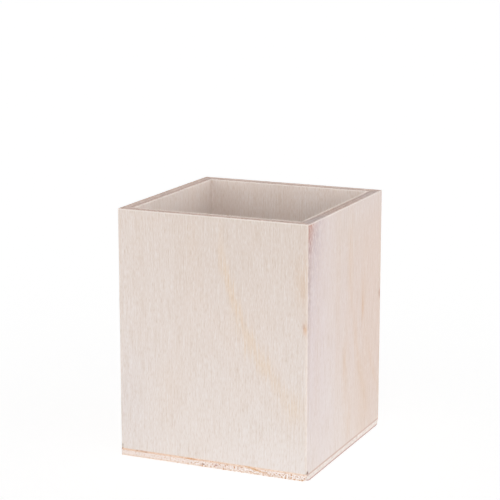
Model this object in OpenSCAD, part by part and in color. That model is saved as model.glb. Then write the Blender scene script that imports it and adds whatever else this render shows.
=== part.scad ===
// Open-topped square holder of thin plywood for a desk.
// Four walls with mitred corners stand on a base panel of the same outline, all glued.
// Every panel is three plies: two face veneers with a core of crossed grain between them.
// The origin is on the table under the middle of the base, with +Z up and the front towards -Y.

/* [Holder] */
// Outside width, left to right
holder_w = 80; // [60:1:140]
// Outside depth, front to back
holder_d = 80; // [60:1:140]
// Height from the table to the rim
holder_h = 100; // [60:1:160]
// Radius of the sanded upright corners
corner_r = 0.8; // [0.2:0.1:2]
// Radius of the sanded edges of the rim
rim_r = 0.4; // [0.1:0.1:1]

/* [Wall plywood] */
// Thickness of each face veneer of a wall
wall_veneer_t = 1.5; // [0.6:0.1:2]
// Thickness of the core of a wall
wall_core_t = 2; // [1:0.1:6]

/* [Base plywood] */
// Thickness of each face veneer of the base
base_veneer_t = 0.8; // [0.4:0.1:2]
// Thickness of the core of the base
base_core_t = 1.4; // [0.8:0.1:6]

/* [Hidden] */
$fn = 48;

// Colours of the face veneers and of the cores, as they show on the faces and on the cut edges
wall_veneer_colour = "#E4D8D0";
wall_core_colour = "#D6C5BB";
base_veneer_colour = "#DDBFA6";
base_core_colour = "#EAD9CA";

// Thickness of a whole wall panel
wall_t = wall_core_t + 2 * wall_veneer_t;
// Thickness of the whole base panel
base_t = base_core_t + 2 * base_veneer_t;
// Height of the walls, which stand on the base
wall_h = holder_h - base_t;

// Each wall ply starts at this depth behind the outer face of its wall, and has this thickness
outer_ply = [0, wall_veneer_t];
core_ply = [wall_veneer_t, wall_core_t];
inner_ply = [wall_veneer_t + wall_core_t, wall_veneer_t];

// Each base ply starts at this height above the table, and has this thickness
lower_ply = [0, base_veneer_t];
middle_ply = [base_veneer_t, base_core_t];
upper_ply = [base_veneer_t + base_core_t, base_veneer_t];

// Each pair of walls has a length along the outer face and a distance from the middle to that face
cross_wall = [holder_w, holder_d / 2];
side_wall = [holder_d, holder_w / 2];

// Turn of each wall about +Z, from the front
front_turn = 0;
right_turn = 90;
back_turn = 180;
left_turn = 270;

// Outline of the whole holder seen from above, with its corners sanded round
module footprint() {
  square([holder_w - 2 * corner_r, holder_d], center = true);
  square([holder_w, holder_d - 2 * corner_r], center = true);
  for (x = [-1, 1], y = [-1, 1])
    translate([x * (holder_w / 2 - corner_r), y * (holder_d / 2 - corner_r)])
      circle(r = corner_r);
}

// Outline of a wall seen from above, with its ends sloping at 45 degrees for the mitres.
// The outer face lies on the X axis.
module wall_outline(wall) {
  polygon([
    [-wall[0] / 2, 0],
    [wall[0] / 2, 0],
    [wall[0] / 2 - wall_t, wall_t],
    [wall_t - wall[0] / 2, wall_t]
  ]);
}

// Section through a wall, with the outer face on the Y axis and both edges of the rim sanded round
module wall_section() {
  square([wall_t, wall_h - rim_r]);
  translate([rim_r, 0])
    square([wall_t - 2 * rim_r, wall_h]);
  for (x = [rim_r, wall_t - rim_r])
    translate([x, wall_h - rim_r])
      circle(r = rim_r);
}

// Section through one ply of a wall
module ply_section(ply) {
  intersection() {
    wall_section();
    translate([ply[0], 0])
      square([ply[1], wall_h]);
  }
}

// One ply of a wall, standing on the base: its section runs along the wall and is cut at the mitres
module wall_ply(turn, wall, ply) {
  translate([0, 0, base_t])
    intersection() {
      linear_extrude(wall_h)
        footprint();
      rotate(turn)
        translate([0, -wall[1], 0])
          intersection() {
            linear_extrude(wall_h)
              wall_outline(wall);
            rotate([90, 0, 90])
              linear_extrude(wall[0], center = true)
                ply_section(ply);
          }
    }
}

// One ply of the base, lying under the walls
module base_ply(ply) {
  translate([0, 0, ply[0]])
    linear_extrude(ply[1])
      footprint();
}

module front_outer_veneer() { color(wall_veneer_colour) wall_ply(front_turn, cross_wall, outer_ply); }
module front_core() { color(wall_core_colour) wall_ply(front_turn, cross_wall, core_ply); }
module front_inner_veneer() { color(wall_veneer_colour) wall_ply(front_turn, cross_wall, inner_ply); }

module right_outer_veneer() { color(wall_veneer_colour) wall_ply(right_turn, side_wall, outer_ply); }
module right_core() { color(wall_core_colour) wall_ply(right_turn, side_wall, core_ply); }
module right_inner_veneer() { color(wall_veneer_colour) wall_ply(right_turn, side_wall, inner_ply); }

module back_outer_veneer() { color(wall_veneer_colour) wall_ply(back_turn, cross_wall, outer_ply); }
module back_core() { color(wall_core_colour) wall_ply(back_turn, cross_wall, core_ply); }
module back_inner_veneer() { color(wall_veneer_colour) wall_ply(back_turn, cross_wall, inner_ply); }

module left_outer_veneer() { color(wall_veneer_colour) wall_ply(left_turn, side_wall, outer_ply); }
module left_core() { color(wall_core_colour) wall_ply(left_turn, side_wall, core_ply); }
module left_inner_veneer() { color(wall_veneer_colour) wall_ply(left_turn, side_wall, inner_ply); }

module base_lower_veneer() { color(base_veneer_colour) base_ply(lower_ply); }
module base_core() { color(base_core_colour) base_ply(middle_ply); }
module base_upper_veneer() { color(base_veneer_colour) base_ply(upper_ply); }

front_outer_veneer();
front_core();
front_inner_veneer();
right_outer_veneer();
right_core();
right_inner_veneer();
back_outer_veneer();
back_core();
back_inner_veneer();
left_outer_veneer();
left_core();
left_inner_veneer();
base_lower_veneer();
base_core();
base_upper_veneer();
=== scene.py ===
import math
import random

import bmesh
import bpy
from mathutils import Matrix, Vector, noise


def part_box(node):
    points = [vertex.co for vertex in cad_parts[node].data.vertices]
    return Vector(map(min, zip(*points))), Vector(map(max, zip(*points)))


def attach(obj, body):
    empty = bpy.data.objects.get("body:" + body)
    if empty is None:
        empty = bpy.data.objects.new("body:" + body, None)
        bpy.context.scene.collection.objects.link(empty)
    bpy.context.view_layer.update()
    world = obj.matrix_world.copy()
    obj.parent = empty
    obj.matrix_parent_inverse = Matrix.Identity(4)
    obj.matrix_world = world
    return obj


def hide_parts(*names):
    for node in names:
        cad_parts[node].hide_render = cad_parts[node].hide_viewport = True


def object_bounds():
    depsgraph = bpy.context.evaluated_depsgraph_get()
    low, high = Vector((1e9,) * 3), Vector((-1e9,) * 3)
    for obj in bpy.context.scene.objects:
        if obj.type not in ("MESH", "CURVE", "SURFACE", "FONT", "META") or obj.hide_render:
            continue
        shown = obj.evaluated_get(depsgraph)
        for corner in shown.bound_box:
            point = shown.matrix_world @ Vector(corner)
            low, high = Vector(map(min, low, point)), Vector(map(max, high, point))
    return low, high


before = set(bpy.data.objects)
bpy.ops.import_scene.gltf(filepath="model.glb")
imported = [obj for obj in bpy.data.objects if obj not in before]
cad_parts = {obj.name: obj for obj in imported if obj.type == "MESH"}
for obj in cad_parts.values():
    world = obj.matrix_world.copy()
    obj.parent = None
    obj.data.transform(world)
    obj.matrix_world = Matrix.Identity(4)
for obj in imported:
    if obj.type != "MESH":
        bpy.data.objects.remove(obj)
cadLow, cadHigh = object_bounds()

mm = 0.001
tiny = 0.001 * mm
endless = 1000  # mm, for marks that run on past both ends of an edge

# what the frame gives
halfWidth = cadHigh.x
halfDepth = cadHigh.y
rimHeight = cadHigh.z
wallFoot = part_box("front_core")[0].z

# camera, floor and light
view = {
    "azimuth": 24.0,  # degrees to the right of the front
    "elevation": 12.1,
    "distance": 700 * mm,
    "target": (-1.55 * mm, 0, 79 * mm),
    "lens": 125.6,
    "sensor": 36,
}
studio = {
    "horizonLight": 2.0,  # brightest low down, all round
    "keyAzimuth": 42,  # degrees to the right of the front
    "keySwing": 0.22,  # how much brighter that side is than the one behind
    "floorReach": 6.0,
    "floorColour": (238, 238, 238),
    "shadowShare": 0.35,  # how much of the floor's own shading the camera sees
    "floorGlow": 0.77,
}


# a colour as it shows, 0 to 255, made linear for the shaders
def paint(red, green, blue):
    parts = [part / 255 for part in (red, green, blue)]
    straight = [part / 12.92 if part <= 0.04045 else ((part + 0.055) / 1.055) ** 2.4 for part in parts]
    return (*straight, 1)


def addNode(tree, kind, **settings):
    made = tree.nodes.new(kind)
    for name, value in settings.items():
        setattr(made, name, value)
    return made


def feed(tree, socket, value):
    if isinstance(value, bpy.types.NodeSocket):
        tree.links.new(value, socket)
    else:
        socket.default_value = value


def calc(tree, operation, *values):
    made = addNode(tree, "ShaderNodeMath", operation=operation)
    for socket, value in zip(made.inputs, values):
        feed(tree, socket, value)
    return made.outputs[0]


# 0 before start, 1 past end, smooth between
def fade(tree, value, start, end):
    made = addNode(tree, "ShaderNodeMapRange", interpolation_type="SMOOTHSTEP")
    feed(tree, made.inputs["Value"], value)
    made.inputs["From Min"].default_value = start
    made.inputs["From Max"].default_value = end
    return made.outputs["Result"]


def strongly(tree, amount, strength):
    return calc(tree, "MULTIPLY", amount, strength)


def tint(tree, amount, under, over):
    made = addNode(tree, "ShaderNodeMix", data_type="RGBA")
    feed(tree, made.inputs[0], amount)
    feed(tree, made.inputs[6], under)  # 6, 7 and 2 are the node's colour sockets
    feed(tree, made.inputs[7], over)
    return made.outputs[2]


# noise with its own fineness in each direction, in cycles per mm; a plain number moves to another pattern
def grain(tree, places, fineness, detail):
    joined = addNode(tree, "ShaderNodeCombineXYZ")
    for socket, place, count in zip(joined.inputs, places, fineness):
        if isinstance(place, bpy.types.NodeSocket):
            place = calc(tree, "MULTIPLY", place, count)
        feed(tree, socket, place)
    made = addNode(tree, "ShaderNodeTexNoise")
    made.inputs["Scale"].default_value = 1
    made.inputs["Detail"].default_value = detail
    tree.links.new(joined.outputs[0], made.inputs["Vector"])
    return made.outputs["Fac"]


# a mark on a face: its middle and its reach in mm, across and up
def stain(at, size, colour, strength, **more):
    return {"at": at, "size": size, "colour": colour, "strength": strength, **more}


# how much of a mark shows, 1 in its middle
def spot(tree, across, up, mark):
    sides = []
    if "slope" in mark:
        rise = calc(tree, "MULTIPLY", calc(tree, "SUBTRACT", across, mark["at"][0]), mark["slope"])
        up = calc(tree, "SUBTRACT", up, rise)
    for value, middle, size in zip((across, up), mark["at"], mark["size"]):
        offset = calc(tree, "DIVIDE", calc(tree, "SUBTRACT", value, middle), size)
        sides.append(calc(tree, "MULTIPLY", offset, offset))
    return calc(tree, "EXPONENT", calc(tree, "MULTIPLY", calc(tree, "ADD", *sides), -1))


def newMaterial(name):
    made = bpy.data.materials.new(name)
    made.use_nodes = True
    tree = made.node_tree
    tree.nodes.clear()
    output = addNode(tree, "ShaderNodeOutputMaterial")
    shader = addNode(tree, "ShaderNodeBsdfPrincipled")
    tree.links.new(shader.outputs[0], output.inputs["Surface"])
    return made, tree, shader


def placeInMm(tree):
    place = addNode(tree, "ShaderNodeTexCoord")
    scaled = addNode(tree, "ShaderNodeMapping")
    scaled.inputs["Scale"].default_value = (1 / mm, 1 / mm, 1 / mm)
    split = addNode(tree, "ShaderNodeSeparateXYZ")
    tree.links.new(place.outputs["Object"], scaled.inputs["Vector"])
    tree.links.new(scaled.outputs["Vector"], split.inputs["Vector"])
    return split.outputs["X"], split.outputs["Y"], split.outputs["Z"]


def finishShader(tree, shader, colour, height, look):
    tree.links.new(colour, shader.inputs["Base Color"])
    roughness = addNode(tree, "ShaderNodeMapRange")
    tree.links.new(height, roughness.inputs["Value"])
    smoothest, roughest = look["roughness"]
    roughness.inputs["To Min"].default_value = smoothest
    roughness.inputs["To Max"].default_value = roughest
    tree.links.new(roughness.outputs["Result"], shader.inputs["Roughness"])
    shader.inputs["Specular IOR Level"].default_value = look["specular"]
    bump = addNode(tree, "ShaderNodeBump")
    bump.inputs["Strength"].default_value = look["bump"]
    bump.inputs["Distance"].default_value = look["bumpDepth"]
    tree.links.new(height, bump.inputs["Height"])
    tree.links.new(bump.outputs["Normal"], shader.inputs["Normal"])


def setCamera():
    turn = math.radians(view["azimuth"])
    tilt = math.radians(view["elevation"])
    back = Vector((math.sin(turn) * math.cos(tilt), -math.cos(turn) * math.cos(tilt), math.sin(tilt)))
    data = bpy.data.cameras.new("camera")
    data.lens = view["lens"]
    data.sensor_width = view["sensor"]
    camera = bpy.data.objects.new("camera", data)
    camera.location = Vector(view["target"]) + back * view["distance"]
    camera.rotation_euler = back.to_track_quat("Z", "Y").to_euler()
    bpy.context.scene.collection.objects.link(camera)
    bpy.context.scene.camera = camera


def seenDirectly(tree):
    path = addNode(tree, "ShaderNodeLightPath")
    seen = calc(tree, "MAXIMUM", path.outputs["Is Camera Ray"], path.outputs["Is Glossy Ray"])
    return calc(tree, "MAXIMUM", seen, path.outputs["Is Transmission Ray"])


def setWorld():
    world = bpy.data.worlds.new("studio")
    world.use_nodes = True
    bpy.context.scene.world = world
    tree = world.node_tree
    tree.nodes.clear()
    output = addNode(tree, "ShaderNodeOutputWorld")
    place = addNode(tree, "ShaderNodeTexCoord")
    split = addNode(tree, "ShaderNodeSeparateXYZ")
    tree.links.new(place.outputs["Generated"], split.inputs["Vector"])
    height = split.outputs["Z"]
    low = calc(tree, "SUBTRACT", 1, calc(tree, "MULTIPLY", height, height))
    soft = addNode(tree, "ShaderNodeBackground")
    soft.inputs["Color"].default_value = (1, 1, 1, 1)
    turn = math.radians(studio["keyAzimuth"])
    toKey = addNode(tree, "ShaderNodeVectorMath", operation="DOT_PRODUCT")
    toKey.inputs[1].default_value = (math.sin(turn), -math.cos(turn), 0)
    tree.links.new(place.outputs["Generated"], toKey.inputs[0])
    swing = calc(tree, "MULTIPLY_ADD", toKey.outputs["Value"], studio["keySwing"], 1)
    level = calc(tree, "MULTIPLY", calc(tree, "MULTIPLY", low, low), studio["horizonLight"])
    tree.links.new(calc(tree, "MULTIPLY", level, swing), soft.inputs["Strength"])
    white = addNode(tree, "ShaderNodeBackground")
    white.inputs["Color"].default_value = (1, 1, 1, 1)
    mix = addNode(tree, "ShaderNodeMixShader")
    tree.links.new(seenDirectly(tree), mix.inputs[0])
    tree.links.new(soft.outputs[0], mix.inputs[1])
    tree.links.new(white.outputs[0], mix.inputs[2])
    tree.links.new(mix.outputs[0], output.inputs["Surface"])


def setFloor():
    mesh = bmesh.new()
    bmesh.ops.create_grid(mesh, x_segments=1, y_segments=1, size=studio["floorReach"])
    data = bpy.data.meshes.new("floor")
    mesh.to_mesh(data)
    mesh.free()
    floor = bpy.data.objects.new("floor", data)
    bpy.context.scene.collection.objects.link(floor)

    paper = bpy.data.materials.new("floor_paper")
    paper.use_nodes = True
    tree = paper.node_tree
    tree.nodes.clear()
    output = addNode(tree, "ShaderNodeOutputMaterial")
    plain = addNode(tree, "ShaderNodeBsdfDiffuse")
    plain.inputs["Color"].default_value = paint(*studio["floorColour"])
    shaded = addNode(tree, "ShaderNodeBsdfDiffuse")
    share = studio["shadowShare"]
    shaded.inputs["Color"].default_value = (share, share, share, 1)
    glow = addNode(tree, "ShaderNodeEmission")
    glow.inputs["Strength"].default_value = studio["floorGlow"]
    lit = addNode(tree, "ShaderNodeAddShader")
    tree.links.new(shaded.outputs[0], lit.inputs[0])
    tree.links.new(glow.outputs[0], lit.inputs[1])
    mix = addNode(tree, "ShaderNodeMixShader")
    tree.links.new(seenDirectly(tree), mix.inputs[0])
    tree.links.new(plain.outputs[0], mix.inputs[1])
    tree.links.new(lit.outputs[0], mix.inputs[2])
    tree.links.new(mix.outputs[0], output.inputs["Surface"])
    data.materials.append(paper)


bpy.context.scene.view_settings.view_transform = "Standard"
setCamera()
setWorld()
setFloor()
print("stage: camera, light and floor")


# face veneers of the walls, with upright grain; fineness is in cycles per mm, across the grain and along it,
# and a range is the level of the noise where a layer starts and the one where it is full
veneerLook = {
    "across": "x",
    "half": halfWidth / mm,
    "seed": 1,
    "wander": 6,  # mm that the grain drifts sideways
    "wanderFineness": (0.03, 0.009),
    "lean": 0,  # how fast it curves away towards the foot
    "leanFrom": (-15, 5),
    "arch": None,  # middle, blunt top and flare of pointed arches, in mm
    "jag": 24,  # mm that columns of fibres carry the figure up or down
    "jagAside": 6,  # mm that they carry it sideways
    "jagFineness": 0.6,
    "column": 2.6,  # mm across such a column
    "columnShare": 0.65,  # how squarely a streak steps from column to column
    "pale": (230, 218, 211),
    "band": (218, 199, 185),
    "bandStrength": 0.32,
    "bandFineness": (0.2, 0.004),
    "bandRange": (0.4, 0.7),
    "cloud": (231, 214, 203),
    "cloudStrength": 0.5,
    "cloudFineness": (0.035, 0.02),
    "cloudRange": (0.42, 0.68),
    "darkFibre": (204, 182, 162),
    "darkRange": (0.5, 0.78),
    "paleFibre": (243, 239, 238),
    "paleRange": (0.5, 0.22),
    "fibreStrength": 0.34,
    "fibreFineness": (1.9, 0.09),
    "fineStrength": 0.36,
    "fineFineness": (3.6, 0.5),
    "fleck": (186, 156, 132),
    "fleckStrength": 0.3,
    "fleckFineness": (2.6, 0.22),
    "fleckRange": (0.66, 0.76),
    "streakRange": (0.22, 0.6),  # streaks break up along the fibres
    "blotFineness": (1.3, 0.45),  # and patches into blots
    "blotRange": (0.3, 0.62),
    "wearAndHighlight": (247, 238, 231),  # sanded edges are paler, and carry a painted highlight
    "wearAndHighlightLow": 0.4,  # at the low end of the wall, and at its high end
    "wearAndHighlightHigh": 0.4,
    "wearAndHighlightCorner": (0.8, 0.35),  # mm from the corner where the sanding and the painted highlight start and are full
    "wearAndHighlightRim": 0.7,
    "wearAndHighlightTop": (0.6, 0.2),  # mm below the rim, likewise
    "roughness": (0.68, 0.86),
    "specular": 0.3,
    "bump": 0.25,
    "bumpDepth": 0.08 * mm,
    "fineRelief": 0.5,  # height of the fine fibres beside the broad ones
    "marks": [],
}
# added to a wall's seed, so that no two layers have the same pattern
layerSeed = {"wander": 0, "band": 3, "fibre": 5, "fine": 8, "fleck": 10, "cloud": 12, "jag": 16, "blot": 18}
paintedFootLight = stain((0, -12), (300, 55), (234, 226, 221), 0.8)  # paler towards the foot: painted light bounced up from the floor
paintedRimShade = stain((22, 108), (60, 45), (219, 205, 195), 0.75)  # darker towards the rim: painted shade


def veneerMaterial(name, changes):
    look = {**veneerLook, **changes}
    made, tree, shader = newMaterial(name)
    x, y, z = placeInMm(tree)
    across = {"x": x, "y": y}[look["across"]]
    half = look["half"]
    rim = rimHeight / mm

    def layer(kind, place, detail):
        return grain(tree, (place, z, look["seed"] + layerSeed[kind]), (*look[kind + "Fineness"], 1), detail)

    # the way the grain runs: it wanders, leans or rises to an arch, and steps from column to column
    drift = calc(tree, "SUBTRACT", layer("wander", across, 2), 0.5)
    bent = calc(tree, "MULTIPLY_ADD", drift, look["wander"], across)
    jagged = grain(tree, (across, look["seed"] + layerSeed["jag"], 0), (look["jagFineness"], 1, 1), 1)
    step = calc(tree, "SUBTRACT", jagged, 0.5)
    down = calc(tree, "SUBTRACT", calc(tree, "MULTIPLY_ADD", step, look["jag"], rim), z)
    fall = calc(tree, "MULTIPLY", down, down)
    column = calc(tree, "SNAP", calc(tree, "MULTIPLY_ADD", step, look["jagAside"], bent), look["column"])
    column = calc(tree, "ADD", column, look["column"] / 2)
    stepped = calc(tree, "MULTIPLY_ADD", calc(tree, "SUBTRACT", column, bent), look["columnShare"], bent)
    if look["arch"]:
        middle, blunt, flare = look["arch"]
        aside = calc(tree, "SUBTRACT", bent, middle)
        aside = calc(tree, "SQRT", calc(tree, "MULTIPLY_ADD", aside, aside, blunt * blunt))
        figure = calc(tree, "SUBTRACT", calc(tree, "SQRT", calc(tree, "MULTIPLY", aside, flare)), down)
    else:
        lean = calc(tree, "MULTIPLY", fade(tree, bent, *look["leanFrom"]), look["lean"])
        figure = calc(tree, "SUBTRACT", bent, calc(tree, "MULTIPLY", lean, fall))

    band = layer("band", figure, 3)
    cloud = layer("cloud", across, 2)
    fibre = layer("fibre", bent, 2)
    fine = layer("fine", bent, 1)
    fleck = layer("fleck", bent, 1)
    blot = layer("blot", across, 3)

    colour = tint(tree, strongly(tree, fade(tree, band, *look["bandRange"]), look["bandStrength"]),
                  paint(*look["pale"]), paint(*look["band"]))
    colour = tint(tree, strongly(tree, fade(tree, cloud, *look["cloudRange"]), look["cloudStrength"]),
                  colour, paint(*look["cloud"]))
    patterns = {
        "fibres": fade(tree, fibre, *look["streakRange"]),
        "blots": fade(tree, blot, *look["blotRange"]),
    }
    for mark in look["marks"]:
        place = across
        if "curve" in mark:
            place = calc(tree, "SUBTRACT", stepped, calc(tree, "MULTIPLY", fall, mark["curve"]))
        amount = strongly(tree, spot(tree, place, z, mark), mark["strength"])
        if "pattern" in mark:
            amount = calc(tree, "MULTIPLY", amount, patterns[mark["pattern"]])
        colour = tint(tree, amount, colour, paint(*mark["colour"]))
    for fibres, strength in ((fibre, look["fibreStrength"]), (fine, look["fineStrength"])):
        dark = strongly(tree, fade(tree, fibres, *look["darkRange"]), strength)
        colour = tint(tree, dark, colour, paint(*look["darkFibre"]))
        pale = strongly(tree, fade(tree, fibres, *look["paleRange"]), strength)
        colour = tint(tree, pale, colour, paint(*look["paleFibre"]))
    colour = tint(tree, strongly(tree, fade(tree, fleck, *look["fleckRange"]), look["fleckStrength"]),
                  colour, paint(*look["fleck"]))

    # paler sanded edges with a painted highlight, at the upright corners and just below the rim
    start, full = look["wearAndHighlightCorner"]
    topStart, topFull = look["wearAndHighlightTop"]
    lowEdge = strongly(tree, fade(tree, across, start - half, full - half), look["wearAndHighlightLow"])
    highEdge = strongly(tree, fade(tree, across, half - start, half - full), look["wearAndHighlightHigh"])
    rimEdge = strongly(tree, fade(tree, z, rim - topStart, rim - topFull), look["wearAndHighlightRim"])
    wearAndHighlight = calc(tree, "MAXIMUM", calc(tree, "MAXIMUM", lowEdge, highEdge), rimEdge)
    colour = tint(tree, wearAndHighlight, colour, paint(*look["wearAndHighlight"]))
    finishShader(tree, shader, colour, calc(tree, "MULTIPLY_ADD", fine, look["fineRelief"], fibre), look)
    return made


# sawn edges: end grain is an even speckle, long grain a stretched one
edgeLook = {
    "fineness": (1.3, 1.3, 2.5),
    "speckle": (0.35, 0.7),
    "pale": (236, 211, 199),
    "dark": (204, 168, 150),
    "cloud": (212, 194, 187),
    "cloudFineness": (0.05, 0.05, 0.12),
    "cloudRange": (0.45, 0.65),
    "cloudStrength": 0.5,
    "pit": (180, 140, 120),
    "pitFineness": (1.9, 1.9, 1.9),
    "pitFrom": 0.64,
    "pitBlur": 0.08,
    "pitStrength": 0.5,
    "along": "x",
    "pitsGrow": (-200, -100),  # along the edge, from smooth to rough
    "smoothShare": 0.25,  # how much of its speckle and pits the smooth end keeps
    "sawn": 0,  # strength of the saw's marks
    "sawnFineness": (0.55, 0.55, 0.55),
    "sawnRange": (0.45, 0.7),
    "sawnColour": (186, 160, 150),
    "mitre": 0,  # strength of the line where two boards meet
    "mitreWidth": 0.14,
    "mitreColour": (176, 140, 122),
    "rings": [],  # marks at a depth behind the outer faces, all the way round
    "ringRange": (0.75, 0.4),  # rings break up along the speckle
    "roughness": (0.75, 0.92),
    "specular": 0.3,
    "bump": 0.35,
    "bumpDepth": 0.08 * mm,
    "marks": [],
}


def edgeMaterial(name, changes):
    look = {**edgeLook, **changes}
    made, tree, shader = newMaterial(name)
    x, y, z = placeInMm(tree)
    along = {"x": x, "y": y}[look["along"]]
    speckle = grain(tree, (x, y, z), look["fineness"], 2)
    cloud = grain(tree, (x, y, z), look["cloudFineness"], 2)
    pit = grain(tree, (x, y, z), look["pitFineness"], 1)
    growth = fade(tree, along, *look["pitsGrow"])
    rough = calc(tree, "MULTIPLY_ADD", growth, 1 - look["smoothShare"], look["smoothShare"])
    uneven = calc(tree, "SUBTRACT", fade(tree, speckle, *look["speckle"]), 0.5)
    uneven = calc(tree, "MULTIPLY_ADD", uneven, rough, 0.5)
    colour = tint(tree, uneven, paint(*look["pale"]), paint(*look["dark"]))
    colour = tint(tree, strongly(tree, fade(tree, cloud, *look["cloudRange"]), look["cloudStrength"]),
                  colour, paint(*look["cloud"]))
    pits = fade(tree, pit, look["pitFrom"], look["pitFrom"] + look["pitBlur"])
    pits = calc(tree, "MULTIPLY", strongly(tree, pits, look["pitStrength"]), rough)
    colour = tint(tree, pits, colour, paint(*look["pit"]))
    for mark in look["marks"]:
        amount = strongly(tree, spot(tree, along, z, mark), mark["strength"])
        colour = tint(tree, amount, colour, paint(*mark["colour"]))
    if look["sawn"]:
        sawn = grain(tree, (x, y, z), look["sawnFineness"], 2)
        colour = tint(tree, strongly(tree, fade(tree, sawn, *look["sawnRange"]), look["sawn"]),
                      colour, paint(*look["sawnColour"]))
    besideX = calc(tree, "SUBTRACT", halfWidth / mm, calc(tree, "ABSOLUTE", x))
    besideY = calc(tree, "SUBTRACT", halfDepth / mm, calc(tree, "ABSOLUTE", y))
    deep = calc(tree, "MINIMUM", besideX, besideY)
    for ring in look["rings"]:
        amount = strongly(tree, spot(tree, deep, z, ring), ring["strength"])
        amount = calc(tree, "MULTIPLY", amount, fade(tree, speckle, *look["ringRange"]))
        colour = tint(tree, amount, colour, paint(*ring["colour"]))
    if look["mitre"]:
        seam = calc(tree, "ABSOLUTE", calc(tree, "SUBTRACT", besideX, besideY))
        seam = strongly(tree, fade(tree, seam, look["mitreWidth"], 0), look["mitre"])
        colour = tint(tree, seam, colour, paint(*look["mitreColour"]))
    finishShader(tree, shader, colour, speckle, look)
    return made


# makes an object of a finished mesh, in place of its node
def makePiece(node, mesh, materials):
    data = bpy.data.meshes.new(node + "_ply")
    mesh.to_mesh(data)
    mesh.free()
    for material in materials:
        data.materials.append(material)
    piece = bpy.data.objects.new(node + "_ply", data)
    bpy.context.scene.collection.objects.link(piece)
    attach(piece, "root")
    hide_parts(node)


# extra rows of points, so that wear and chips have something to shape
def cutRows(mesh, axis, places):
    for place in places:
        at = Vector((0, 0, 0))
        way = Vector((0, 0, 0))
        at[axis] = place
        way[axis] = 1
        bmesh.ops.bisect_plane(
            mesh, geom=mesh.verts[:] + mesh.edges[:] + mesh.faces[:], dist=tiny, plane_co=at, plane_no=way)


# each wall is made as the front one and then turned; chips are (along, deep, up) in mm there,
# and marks on the veneer are (x or y, z) in mm
frontLean = 0.0062
frontWall = {
    "turn": 0,
    "half": halfWidth,
    "face": halfDepth,
    "look": {
        "lean": frontLean,
        "wearAndHighlightHigh": 0.3,
        "marks": [
            paintedFootLight,
            paintedRimShade,
            # long streak, which leans with the grain
            stain((3.2, 72), (1.9, 18), (229, 200, 165), 0.54, curve=frontLean, pattern="fibres"),
            stain((1.8, 46), (3.4, 15), (229, 204, 174), 0.48, curve=frontLean, pattern="fibres"),
            # short streaks, and the cooler and paler parts of the foot
            stain((34, 28), (5, 6), (229, 205, 178), 0.38, pattern="fibres"),
            stain((-18, 27), (4, 14), (221, 197, 176), 0.2, pattern="fibres"),
            stain((-8, 90), (3, 10), (220, 196, 174), 0.2, pattern="fibres"),
            stain((-38, 24), (12, 26), (227, 218, 215), 0.6),
            stain((30, 4), (24, 9), (236, 228, 224), 0.7),
            stain((37.6, 77), (3, 9), (221, 191, 162), 0.4, pattern="fibres"),
            stain((38.9, 80), (1.3, 16), (212, 176, 144), 0.2),  # warm line beside the right corner
            stain((39.7, 38), (0.7, 46), (239, 225, 214), 0.7),  # and a pale one below it, sanded and with a painted highlight on the corner
            stain((38.8, 59.7), (0.9, 2.3), (218, 164, 112), 0.5),  # nick in the corner
            stain((38.2, 60.8), (0.4, 1.2), (172, 106, 54), 0.35),
            stain((-39.3, 4.3), (0.5, 0.6), (140, 120, 96), 0.6),  # painted shade in the gap at the left foot
        ],
    },
    "chips": [
        {"at": (39.3, 0, 59.7), "size": (0.7, 1.2, 1.4), "push": (-0.2, 0.25, 0)},
        {"at": (39.7, 0.2, 3), "size": (0.5, 0.7, 0.5), "push": (-0.12, 0.12, 0.16)},
        {"at": (-39.7, 0.2, 3), "size": (0.7, 0.8, 0.7), "push": (0.4, 0.3, 0.4)},
    ],
    "rim": {},
    "innerRim": {"pale": (252, 240, 234), "dark": (226, 197, 184), "cloud": (240, 222, 214)},
    "fuzz": {"deep": 0.36, "count": 700, "reach": 34.6},  # mm worn off the inner plies, and the torn fibres
}
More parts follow.
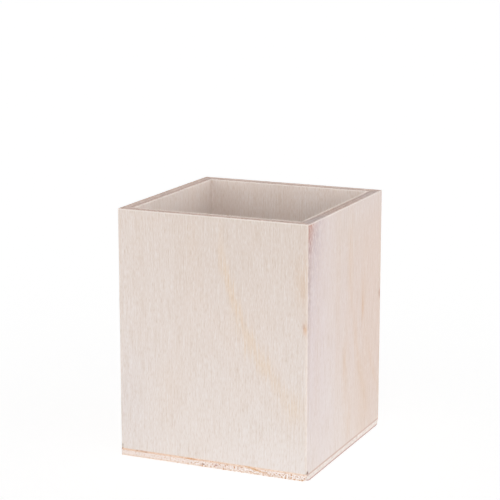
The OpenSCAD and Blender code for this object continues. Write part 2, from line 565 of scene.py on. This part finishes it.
rightWall = {
    "turn": 90,
    "half": halfDepth,
    "face": halfWidth,
    "look": {
        "across": "y",
        "half": halfDepth / mm,
        "seed": 21,
        "pale": (230, 216, 213),
        "band": (224, 200, 184),
        "bandStrength": 0.7,
        "bandFineness": (0.14, 0.004),
        "fineStrength": 0.28,
        "wearAndHighlightLow": 0,
        "marks": [
            paintedFootLight,
            paintedRimShade,
            stain((34, 45), (34, 90), (228, 207, 195), 0.75),  # warmer towards the back
            stain((24, 102), (34, 12), (226, 213, 209), 0.7),
            stain((20, 14), (7, 22), (222, 194, 168), 0.22),
            stain((-14, 3), (30, 8), (238, 229, 224), 0.34),
            stain((-22, 12), (16, 30), (233, 222, 219), 0.5),
            stain((18.6, 62), (2, 11), (216, 180, 148), 0.28, pattern="fibres"),  # short streak
            stain((18.8, 55), (1.2, 5), (214, 166, 106), 0.38),
            # leaning streaks
            stain((4, 38), (2.4, 26), (222, 190, 160), 0.38, curve=0.0026, pattern="fibres"),
            stain((12, 26), (1.9, 12), (220, 186, 154), 0.32, curve=0.0037, pattern="fibres"),
            stain((-1.3, 37), (1.4, 5), (218, 178, 136), 0.18),
            stain((4, 74), (3, 20), (224, 197, 174), 0.4, pattern="fibres"),
            stain((-1, 36), (3.4, 16), (224, 197, 174), 0.45, pattern="fibres"),
            stain((3.5, 13), (3, 9), (224, 196, 172), 0.32, pattern="fibres"),
            stain((-42, 65), (24, 50), (228, 215, 217), 0.7),  # cooler towards the front
            stain((-36, 78), (8, 20), (206, 191, 195), 0.4, pattern="blots"),  # darker, redder patch at the top of the front corner
            stain((-36, 98), (10, 13), (196, 178, 183), 0.8, pattern="blots"),
            stain((-37, 99.5), (4.6, 4.6), (210, 150, 124), 0.36, pattern="blots"),
            stain((-39, 98), (2.6, 8.5), (190, 122, 96), 0.88, pattern="blots"),
            stain((-39, 80), (1.6, 20), (180, 154, 152), 0.75, pattern="blots"),
            stain((-39.2, 52), (1.6, 30), (212, 194, 186), 0.4),
            stain((39.4, 57.2), (1.6, 1.9), (164, 92, 30), 0.85),  # nick in the far edge
            stain((-39.4, 3.5), (0.6, 0.65), (112, 54, 14), 0.95),  # painted shade in the gap at the front foot
        ],
    },
    "chips": [
        {"at": (39.8, 0, 57.4), "size": (0.6, 1.2, 1.6), "push": (-0.2, 0.12, 0)},
        {"at": (-39.2, 0, 3), "size": (0.5, 1, 0.5), "push": (0.05, 0.2, 0.22)},
    ],
    "rim": {
        "along": "y",
        "marks": [
            stain((-30, 100), (14, 100), (210, 199, 198), 0.75),
            stain((30, 100), (16, 100), (226, 211, 207), 0.7),
        ],
    },
    "innerRim": {},
    "fuzz": {"deep": 0.36, "count": 560, "reach": 34.6},
}
backWall = {
    "turn": 180,
    "half": halfWidth,
    "face": halfDepth,
    "look": {
        "seed": 41,
        "arch": (-9, 3, 160),
        "band": (217, 188, 160),
        "bandStrength": 0.9,
        "bandFineness": (0.09, 0.004),
        "marks": [paintedFootLight, paintedRimShade],
    },
    "chips": [],
    "rim": {},
    "innerRim": {},
    "fuzz": {"deep": 0.05, "count": 40, "reach": 33},
}
leftWall = {
    "turn": 270,
    "half": halfDepth,
    "face": halfWidth,
    "look": {
        "across": "y",
        "half": halfDepth / mm,
        "seed": 61,
        "arch": (16, 4, 200),
        "band": (218, 190, 163),
        "bandStrength": 0.8,
        "bandFineness": (0.08, 0.004),
        "marks": [
            paintedFootLight,
            paintedRimShade,
            stain((-12, 60), (3, 40), (222, 196, 176), 0.4, pattern="fibres"),
        ],
    },
    "chips": [],
    "rim": {},
    "innerRim": {},
    "fuzz": {"deep": 0.05, "count": 40, "reach": 33},
}
walls = {"front": frontWall, "right": rightWall, "back": backWall, "left": leftWall}
sanding = {
    "cornerRadius": 0.8 * mm,
    "cornerArc": (0, 11, 22, 33),  # degrees round the corner where an upright row of points stands
    "cornerRows": (1.4 * mm, 2 * mm, 3 * mm),  # and how far from the corner the next ones do
    "rimRadius": 0.4 * mm,
    "rimSegments": 5,
    "waver": 0.25,  # how unevenly the corners were sanded
    "waverLength": 14 * mm,
    "cornerSeed": 7,  # keeps the waver of the four corners apart
    "rowStep": 4 * mm,
    "columnStep": 1.6 * mm,
    "columnGap": 1 * mm,  # least gap between a column and the mitre
    "chipStep": 0.4 * mm,  # rows round a chip
    "chipSteps": 5,
    "coreDrop": 0.04 * mm,  # the core was sanded a hair lower than the veneers
    "sawDepth": 0.06 * mm,
    "sawLength": 2.5 * mm,
    "wornRun": 14 * mm,  # length over which the wear of the inner plies runs out at a corner
}
# torn fibres on the inner plies: lengths in mm, turns in degrees
torn = {
    "behind": (0.15, 0.55),  # from the inner face
    "rooted": (0.1, 0.25),  # below the worn rim
    "lean": (-30, 10),  # mostly towards the well
    "twist": (-60, 60),
    "length": (0.4, 1),
    "foot": (0.1, 0.2),
    "tip": 0.06,
    "below": 0.04,  # how far the tips stay below the rim
    "segments": 3,
}
# rim: the edges are sanded pale and carry a painted highlight, and the glue between the plies
# shows as two thin brown lines; a ring's first number is its depth behind the outer faces, in mm
outerArrisWearAndHighlight = stain((0.2, 100), (0.45, endless), (248, 231, 224), 0.7)
innerArrisWearAndHighlight = stain((4.9, 100), (0.75, endless), (248, 231, 224), 1)
outerGlue = stain((1.5, 100), (0.16, endless), (186, 146, 128), 0.6)
innerGlue = stain((3.5, 100), (0.25, endless), (180, 140, 122), 0.8)
endGrain = {"rings": [outerArrisWearAndHighlight, innerArrisWearAndHighlight, outerGlue, innerGlue], "sawn": 0.5, "mitre": 0.5}
coreEdge = {
    "pale": (238, 217, 207),
    "dark": (218, 191, 178),
    "cloud": (222, 204, 196),
    "pitStrength": 0.25,
    "sawn": 0.35,
    "mitre": 0.5,
    "rings": [outerGlue, innerGlue],
}
coreFineness = {"x": (0.2, 3, 3), "y": (3, 0.2, 3)}  # the core's grain lies along its wall
innerSeed = 81
upFacing = 0.8  # faces turned up more than this show the rim's material


def plyDepths(node, wall):
    axis = 1 if wall["turn"] % 180 == 0 else 0
    reaches = [abs(corner[axis]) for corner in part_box(node)]
    return wall["face"] - max(reaches), wall["face"] - min(reaches)


# a board of one ply with sloping ends
def cutBoard(wall, near, far, top):
    mesh = bmesh.new()
    bmesh.ops.create_cube(mesh, size=1)
    bmesh.ops.scale(mesh, verts=mesh.verts, vec=(2 * wall["half"], far - near, top - wallFoot))
    bmesh.ops.translate(
        mesh, verts=mesh.verts, vec=(0, (near + far) / 2 - wall["face"], (top + wallFoot) / 2))
    for vert in mesh.verts:
        vert.co.x -= math.copysign(vert.co.y + wall["face"], vert.co.x)
    return mesh


def roundRim(mesh, wall, depth):
    def onEdge(vert):
        return abs(vert.co.z - rimHeight) < tiny and abs(vert.co.y + wall["face"] - depth) < tiny

    edges = [edge for edge in mesh.edges if all(onEdge(vert) for vert in edge.verts)]
    bmesh.ops.bevel(
        mesh, geom=edges, offset=sanding["rimRadius"], segments=sanding["rimSegments"], profile=0.5,
        affect="EDGES", material=-1)


def rimPoints(mesh):
    return [vert for vert in mesh.verts if vert.co.z > rimHeight - sanding["rimRadius"] - tiny]


# how deep the inner plies are worn below the rim, less towards the corners
def wornDepth(wall, along):
    share = min((wall["half"] - abs(along)) / sanding["wornRun"], 1)
    return wall["fuzz"]["deep"] * mm * share * share * (3 - 2 * share)


def wearRim(mesh, wall):
    for vert in rimPoints(mesh):
        vert.co.z -= wornDepth(wall, vert.co.x)


# the saw left the rim a little uneven
def sawRim(mesh, seed):
    for vert in rimPoints(mesh):
        bite = noise.noise(Vector((vert.co.x / sanding["sawLength"], vert.co.y / sanding["sawLength"], seed)))
        vert.co.z -= sanding["sawDepth"] * max(bite, 0)


# rounds the upright corners a little unevenly, the same on both boards that meet there
def sandCorners(mesh, wall):
    for vert in mesh.verts:
        depth = vert.co.y + wall["face"]
        reach = abs(vert.co.x)
        corner = (wall["turn"] / 90 + (vert.co.x > 0)) % 4
        wear = noise.noise(Vector((vert.co.z / sanding["waverLength"], corner * sanding["cornerSeed"], 0)))
        radius = sanding["cornerRadius"] * (1 + sanding["waver"] * wear)
        past = reach - (wall["half"] - radius)
        if reach + depth > wall["half"] - tiny:  # on the mitre
            depth = max(depth, radius * (1 - math.sqrt(0.5)))
            reach = wall["half"] - depth
        elif past > 0:
            depth = max(depth, radius - math.sqrt(max(radius * radius - past * past, 0)))
        vert.co.x = math.copysign(reach, vert.co.x)
        vert.co.y = depth - wall["face"]


def knock(mesh, chip, face=0):
    at = Vector(chip["at"]) * mm - Vector((0, face, 0))
    for vert in mesh.verts:
        offset = [(vert.co[i] - at[i]) / (chip["size"][i] * mm) for i in range(3)]
        vert.co += Vector(chip["push"]) * mm * math.exp(-sum(part * part for part in offset))


# torn fibres along the inner edge of the rim, no higher than the rim itself
def addFuzz(mesh, wall, far):
    fuzz = wall["fuzz"]
    draw = random.Random(wall["turn"])
    for _ in range(fuzz["count"]):
        along = draw.uniform(-fuzz["reach"], fuzz["reach"]) * mm
        deep = far - draw.uniform(*torn["behind"]) * mm
        root = Vector((
            along,
            deep - wall["face"],
            rimHeight - wornDepth(wall, along) - draw.uniform(*torn["rooted"]) * mm))
        lean = Matrix.Rotation(math.radians(draw.uniform(*torn["lean"])), 4, "X")
        lean = Matrix.Rotation(math.radians(draw.uniform(*torn["twist"])), 4, "Z") @ lean
        way = lean @ Vector((0, 0, 1))
        room = (rimHeight - torn["below"] * mm - root.z) / way.z
        length = min(draw.uniform(*torn["length"]) * mm, room)
        place = Matrix.Translation(root + way * length / 2) @ lean
        bmesh.ops.create_cone(
            mesh, cap_ends=True, segments=torn["segments"], radius1=draw.uniform(*torn["foot"]) * mm,
            radius2=torn["tip"] * mm, depth=length, matrix=place)


def evenColumns(wall, far):
    reach = wall["half"] - far - sanding["columnGap"]
    count = int(2 * reach / sanding["columnStep"])
    return [reach * (2 * column / count - 1) for column in range(count + 1)]


def outerPly(wall, near, far):
    mesh = cutBoard(wall, near, far, rimHeight)
    roundRim(mesh, wall, near)
    cutRows(mesh, 0, evenColumns(wall, 2 * far))
    sawRim(mesh, wall["turn"])
    arc = [math.radians(angle) for angle in sanding["cornerArc"]]
    columns = [wall["half"] - sanding["cornerRadius"] * (1 - math.sin(angle)) for angle in arc]
    columns += [wall["half"] - width for width in sanding["cornerRows"]]
    rows = int((rimHeight - wallFoot) / sanding["rowStep"])
    cutRows(mesh, 0, columns + [-place for place in columns])
    cutRows(mesh, 2, [wallFoot + sanding["rowStep"] * row for row in range(1, rows)])
    for chip in wall["chips"]:
        steps = range(-sanding["chipSteps"], sanding["chipSteps"] + 1)
        cutRows(mesh, 2, [chip["at"][2] * mm + sanding["chipStep"] * step for step in steps])
    sandCorners(mesh, wall)
    for chip in wall["chips"]:
        knock(mesh, chip, wall["face"])
    return mesh


def corePly(wall, near, far):
    mesh = cutBoard(wall, near, far, rimHeight - sanding["coreDrop"])
    cutRows(mesh, 0, evenColumns(wall, far))
    wearRim(mesh, wall)
    sawRim(mesh, wall["turn"] + 1)
    return mesh


def innerPly(wall, near, far):
    mesh = cutBoard(wall, near, far, rimHeight)
    roundRim(mesh, wall, far)
    cutRows(mesh, 0, evenColumns(wall, far))
    wearRim(mesh, wall)
    sawRim(mesh, wall["turn"] + 2)
    addFuzz(mesh, wall, far)
    return mesh


for side, wall in walls.items():
    turn = Matrix.Rotation(math.radians(wall["turn"]), 3, "Z")
    across = wall["look"].get("across", "x")
    outer = veneerMaterial(side + "_outer_face", wall["look"])
    inner = veneerMaterial(side + "_inner_face", {"across": across, "seed": innerSeed + wall["turn"]})
    outerEnd = edgeMaterial(side + "_outer_end_grain", {**endGrain, **wall["rim"]})
    innerEnd = edgeMaterial(side + "_inner_end_grain", {**endGrain, **wall["rim"], **wall["innerRim"]})
    core = edgeMaterial(side + "_core_edge", {**coreEdge, **wall["rim"], "fineness": coreFineness[across]})
    for kind, maker, materials in (
            ("outer_veneer", outerPly, [outer, outerEnd]),
            ("core", corePly, [core, core]),
            ("inner_veneer", innerPly, [inner, innerEnd])):
        node = side + "_" + kind
        mesh = maker(wall, *plyDepths(node, wall))
        bmesh.ops.rotate(mesh, verts=mesh.verts, cent=(0, 0, 0), matrix=turn)
        bmesh.ops.recalc_face_normals(mesh, faces=mesh.faces)
        for face in mesh.faces:
            face.material_index = 1 if face.normal.z > upFacing else 0
        makePiece(node, mesh, materials)
print("walls:", ", ".join(walls))

# the base: sawn edges, coarser towards the right of the front; marks are (x or y, z) in mm
coarse = {
    "fineness": (1.3, 1.3, 1.7),
    "speckle": (0.4, 0.6),
    "pit": (190, 120, 6),
    "pitFineness": (1.3, 1.3, 1.8),
    "pitFrom": 0.6,
    "pitStrength": 1,
    "pitsGrow": (-24, 6),
}
paler = stain((34, 2.6), (32, 3), (246, 230, 218), 0.5)
tear = stain((18.7, 1.9), (4.5, 0.35), (208, 144, 40), 0.75, slope=-0.207)
darkPit = stain((-3.8, 0.9), (0.7, 0.45), (140, 84, 36), 0.9)
smallPit = stain((1.8, 1.4), (0.5, 0.4), (160, 84, 44), 0.8)
goldPit = stain((-9, 2.45), (2.2, 0.3), (206, 134, 50), 0.7)
# painted shade in small gaps at the top of the base's front edge
firstGapShade = stain((-32.8, 2.8), (0.45, 0.3), (156, 92, 76), 0.55)
secondGapShade = stain((-30.7, 2.8), (0.8, 0.25), (164, 102, 82), 0.5)
thirdGapShade = stain((-28.9, 2.5), (0.9, 0.35), (176, 114, 72), 0.5)
endGapShade = stain((-39.7, 2.8), (0.5, 0.2), (120, 70, 66), 0.8)
lowLine = stain((0, 0.15), (endless, 0.28), (186, 150, 143), 1)
highLine = stain((0, 2.62), (endless, 0.38), (206, 176, 164), 0.66)
base = {
    "cornerRadius": sanding["cornerRadius"],
    "cornerSegments": 6,
    "columnCount": 160,
    "rowCount": 3,
    "shortEdge": 20 * mm,  # only longer edges are cut into columns
    "gritLength": 0.9 * mm,  # coarse and fine roughness of the sawn edges
    "fineGritLength": 0.35 * mm,
    "fineGritShare": 0.6,
    "levelFacing": 0.7,  # faces turned up or down more than this show the face material
    "chips": [
        {"at": (39.8, 39.8, 0), "size": (1.6, 1.6, 1.3), "push": (-0.35, -0.25, 0.35)},
        {"at": (39.8, -39.8, 0), "size": (1.4, 1.4, 1.2), "push": (-0.4, 0.4, 0.3)},
    ],
    "face": {
        "fineness": (0.06, 2.5, 2.5),
        "pale": (230, 212, 198),
        "dark": (218, 196, 180),
        "cloud": (226, 204, 188),
        "pitStrength": 0.15,
    },
    "plies": {
        "base_lower_veneer": {
            "slot": "base_veneer",
            "rough": 0.14 * mm,
            "front": {**coarse, "pale": (249, 239, 233), "dark": (222, 193, 170), "cloud": (233, 214, 202)},
            "side": {
                "pale": (240, 226, 219),
                "dark": (230, 212, 205),
                "cloud": (236, 220, 212),
                "pitStrength": 0.3,
                "marks": [lowLine],
            },
        },
        "base_core": {
            "slot": "base_core",
            "rough": 0.12 * mm,
            "front": {
                **coarse,
                "pale": (252, 244, 242),
                "dark": (225, 203, 189),
                "cloud": (236, 220, 213),
                "marks": [tear, darkPit, smallPit],
            },
            "side": {
                "fineness": (2.5, 0.4, 1.6),
                "pale": (243, 236, 231),
                "dark": (228, 216, 209),
                "cloud": (240, 227, 219),
                "pitStrength": 0.2,
            },
        },
        "base_upper_veneer": {
            "slot": "base_veneer",
            "rough": 0.12 * mm,
            "front": {
                **coarse,
                "fineness": (0.8, 1.7, 2.2),
                "pale": (249, 225, 208),
                "dark": (217, 179, 149),
                "cloud": (232, 205, 185),
                "marks": [paler, tear, goldPit, firstGapShade, secondGapShade, thirdGapShade, endGapShade],
            },
            "side": {
                "pale": (234, 217, 210),
                "dark": (222, 201, 192),
                "cloud": (228, 209, 201),
                "pitStrength": 0.3,
                "marks": [highLine],
            },
        },
    },
}


def uprightEdges(mesh):
    return [edge for edge in mesh.edges if abs(edge.verts[0].co.z - edge.verts[1].co.z) > tiny]


def basePly(node, rough):
    low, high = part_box(node)
    mesh = bmesh.new()
    bmesh.ops.create_cube(mesh, size=1)
    bmesh.ops.scale(mesh, verts=mesh.verts, vec=high - low)
    bmesh.ops.translate(mesh, verts=mesh.verts, vec=(high + low) / 2)
    bmesh.ops.bevel(
        mesh, geom=uprightEdges(mesh), offset=base["cornerRadius"], segments=base["cornerSegments"],
        profile=0.5, affect="EDGES", material=-1)
    level = [edge for edge in mesh.edges if edge.calc_length() > base["shortEdge"]]
    bmesh.ops.subdivide_edges(mesh, edges=level, cuts=base["columnCount"], use_grid_fill=True)
    bmesh.ops.subdivide_edges(mesh, edges=uprightEdges(mesh), cuts=base["rowCount"], use_grid_fill=True)
    for vert in mesh.verts:
        outward = Vector((vert.co.x, vert.co.y, 0))
        bite = noise.noise(vert.co / base["gritLength"])
        bite += base["fineGritShare"] * noise.noise(vert.co / base["fineGritLength"])
        vert.co -= outward.normalized() * rough * max(bite, 0)
    for chip in base["chips"]:
        knock(mesh, chip)
    return mesh


baseFace = edgeMaterial("base_face", base["face"])
for node, ply in base["plies"].items():
    frontEdge = edgeMaterial(node + "_front_edge", ply["front"])
    sideEdge = edgeMaterial(node + "_side_edge", ply["side"])
    mesh = basePly(node, ply["rough"])
    bmesh.ops.recalc_face_normals(mesh, faces=mesh.faces)
    for face in mesh.faces:
        if abs(face.normal.z) > base["levelFacing"]:
            face.material_index = 0
        else:
            face.material_index = 1 if abs(face.normal.y) > abs(face.normal.x) else 2
    makePiece(node, mesh, [baseFace, frontEdge, sideEdge])
print("base:", ", ".join(base["plies"]))
